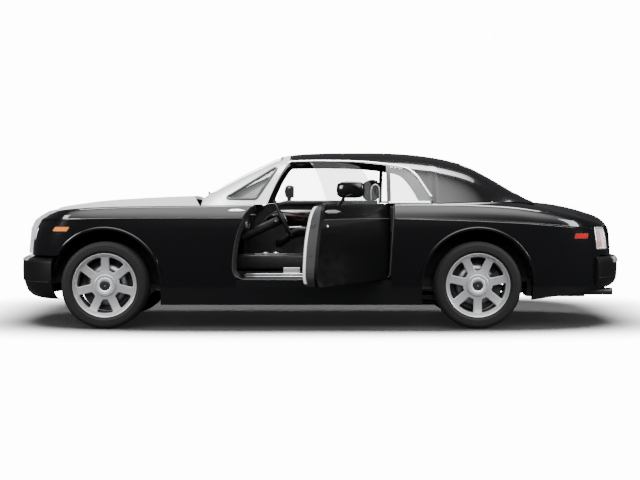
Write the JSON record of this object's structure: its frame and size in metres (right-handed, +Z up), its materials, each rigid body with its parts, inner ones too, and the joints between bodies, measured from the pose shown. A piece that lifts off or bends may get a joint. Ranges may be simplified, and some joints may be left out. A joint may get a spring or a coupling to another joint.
{
  "type": "two-door coupe",
  "caption": "Large closed two-door coupe with a long bonnet, fixed roof, rear-hinged doors, opening bonnet and boot lid, steered front wheels and a full cabin.",
  "frame": {"origin": "on the ground under the middle of the car, halfway between the bumper ends and on the car's middle plane", "axes": "+X to the rear of the car, +Y to its right-hand side, +Z up"},
  "size_m": [5.612, 3.3472, 1.5923],
  "materials": {
    "paint": "gloss black",
    "steel_panel": "brushed",
    "chrome_trim": "polished",
    "underbody": "satin black",
    "cast": "as cast",
    "pipe": "dull",
    "lamp_clear": "clear lens",
    "lamp_red": "red lens",
    "glass": "tinted",
    "trim": "textured black",
    "cabin": "stitched",
    "hide": "soft grained",
    "tyre": "road tyre",
    "wheel": "polished"
  },
  "bodies": {
    "body": {"rockers": "paint", "front_fenders": "paint", "rear_quarters": "paint", "roof": "paint", "front_bumper": "paint", "rear_bumper": "paint", "windscreen_frame": "steel_panel", "grille": "chrome_trim", "floor": "underbody", "frame_rails": "underbody", "front_subframe": "underbody", "rear_subframe": "underbody", "door_hinges": "underbody", "engine": "cast", "radiator": "cast", "exhaust": "pipe", "front_lamps": "lamp_clear", "tail_lamps": "lamp_red", "windscreen": "glass", "rear_window": "glass", "side_glass": "glass", "cowl": "trim", "wheel_liners": "trim", "dashboard": "cabin", "front_seats": "hide", "rear_seat": "hide"},
    "bonnet": {"bonnet": "steel_panel"},
    "boot_lid": {"boot_lid": "paint"},
    "door_left": {"door_left": "paint", "door_glass_left": "glass", "mirror_left": "paint"},
    "door_right": {"door_right": "paint", "door_glass_right": "glass", "mirror_right": "paint"},
    "steering_wheel": {"steering_wheel": "cabin"},
    "knuckle_left": {"knuckle_left": "underbody"},
    "knuckle_right": {"knuckle_right": "underbody"},
    "wheel_front_left": {"tyre_front_left": "tyre", "wheel_front_left": "wheel"},
    "wheel_front_right": {"tyre_front_right": "tyre", "wheel_front_right": "wheel"},
    "wheel_rear_left": {"tyre_rear_left": "tyre", "wheel_rear_left": "wheel"},
    "wheel_rear_right": {"tyre_rear_right": "tyre", "wheel_rear_right": "wheel"}
  },
  "joints": [
    {"name": "door_left_hinge", "type": "hinge", "parent": "body", "child": "door_left", "pos_m": [0.56, -0.958, 0.7], "axis": [0, 0, 1], "range_deg": [-63, 0]},
    {"name": "door_right_hinge", "type": "hinge", "parent": "body", "child": "door_right", "pos_m": [0.56, 0.958, 0.7], "axis": [0, 0, -1], "range_deg": [0, 63]},
    {"name": "bonnet_hinge", "type": "hinge", "parent": "body", "child": "bonnet", "pos_m": [-1.075, 0, 1.1], "axis": [0, 1, 0], "range_deg": [0, 50]},
    {"name": "boot_hinge", "type": "hinge", "parent": "body", "child": "boot_lid", "pos_m": [1.984, 0, 1.106], "axis": [0, -1, 0], "range_deg": [0, 65]},
    {"name": "steer_left", "type": "hinge", "parent": "body", "child": "knuckle_left", "pos_m": [-1.915, -0.72, 0.388], "axis": [0, 0, 1], "range_deg": [-35, 35]},
    {"name": "steer_right", "type": "hinge", "parent": "body", "child": "knuckle_right", "pos_m": [-1.915, 0.72, 0.388], "axis": [0, 0, 1], "range_deg": [-35, 35]},
    {"name": "steering_wheel_turn", "type": "hinge", "parent": "body", "child": "steering_wheel", "pos_m": [-0.345, -0.425, 0.975], "axis": [0.9063, 0, 0.4226], "range_deg": [-525, 525]},
    {"name": "spin_front_left", "type": "hinge", "parent": "knuckle_left", "child": "wheel_front_left", "pos_m": [-1.915, -0.835, 0.388], "axis": [0, 1, 0], "continuous": true},
    {"name": "spin_front_right", "type": "hinge", "parent": "knuckle_right", "child": "wheel_front_right", "pos_m": [-1.915, 0.835, 0.388], "axis": [0, 1, 0], "continuous": true},
    {"name": "spin_rear_left", "type": "hinge", "parent": "body", "child": "wheel_rear_left", "pos_m": [1.405, -0.835, 0.388], "axis": [0, 1, 0], "continuous": true},
    {"name": "spin_rear_right", "type": "hinge", "parent": "body", "child": "wheel_rear_right", "pos_m": [1.405, 0.835, 0.388], "axis": [0, 1, 0], "continuous": true}
  ],
  "couplings": [
    {"joint": "steer_right", "follows": "steer_left", "ratio": 1},
    {"joint": "steering_wheel_turn", "follows": "steer_left", "ratio": 15}
  ]
}
